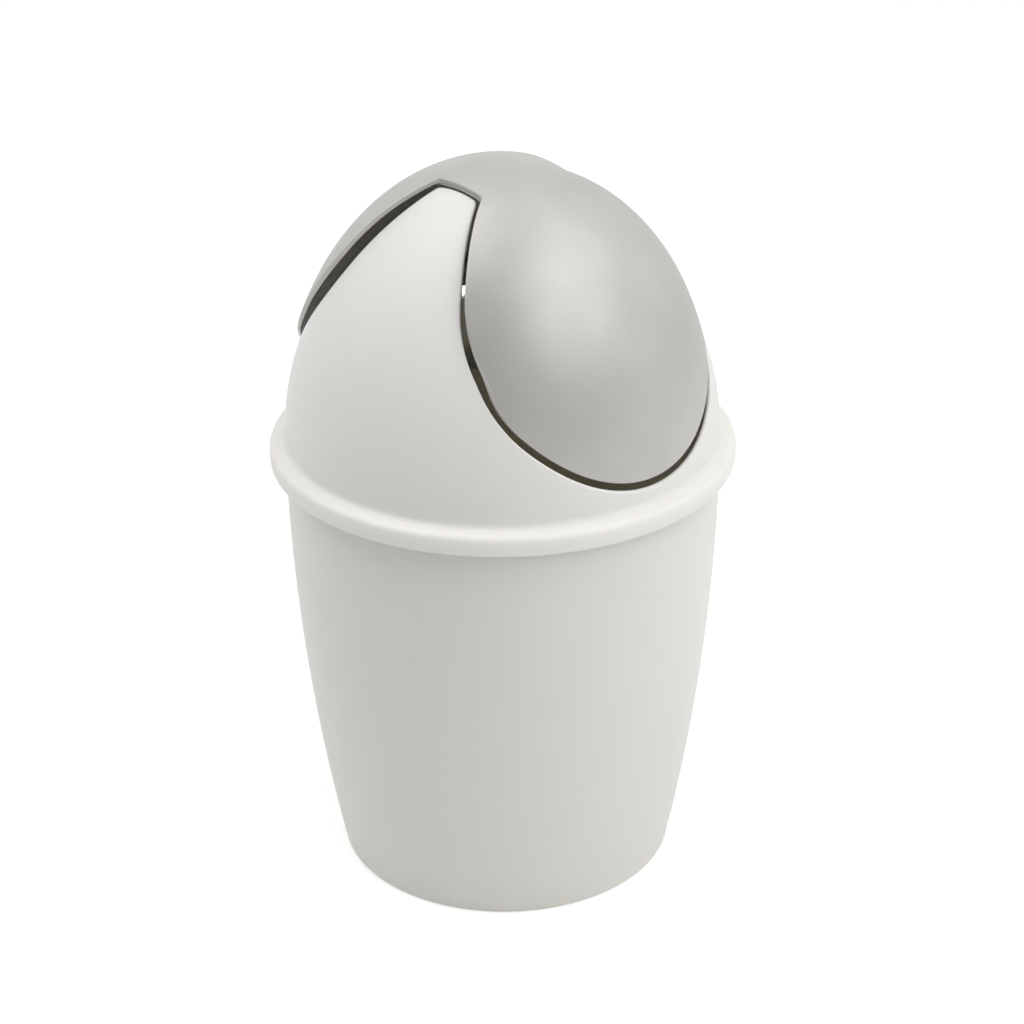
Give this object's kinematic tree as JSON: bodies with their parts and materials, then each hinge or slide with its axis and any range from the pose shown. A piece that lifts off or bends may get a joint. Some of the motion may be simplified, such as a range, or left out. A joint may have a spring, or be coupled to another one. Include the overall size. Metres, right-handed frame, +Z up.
{
  "type": "countertop waste bin",
  "caption": "Countertop waste bin: a barrel-sided bucket, a lift-off domed hood and a two-lobed flap that swings between the hood's cheeks.",
  "frame": {"origin": "centre of the foot ring on the table", "axes": "+Z up along the bin's axis, X along the flap's swing axis through the cheeks, -Y and +Y towards the two lobes of the flap"},
  "size_m": [0.15, 0.15, 0.2401],
  "materials": {
    "bucket": "fine matt, injection moulded",
    "hood": "fine matt, injection moulded",
    "swing_flap": "fine satin with a faint metallic grain, injection moulded"
  },
  "bodies": {
    "bucket": {"bucket": "bucket"},
    "hood": {"hood": "hood"},
    "swing_flap": {"swing_flap": "swing_flap"}
  },
  "joints": [
    {"name": "hood_lift", "type": "slide", "parent": "bucket", "child": "hood", "axis": [0, 0, 1], "range_m": [0, 0.12]},
    {"name": "flap_swing", "type": "hinge", "parent": "hood", "child": "swing_flap", "pos_m": [0, 0, 0.209], "axis": [1, 0, 0], "range_deg": [-80, 80]}
  ]
}
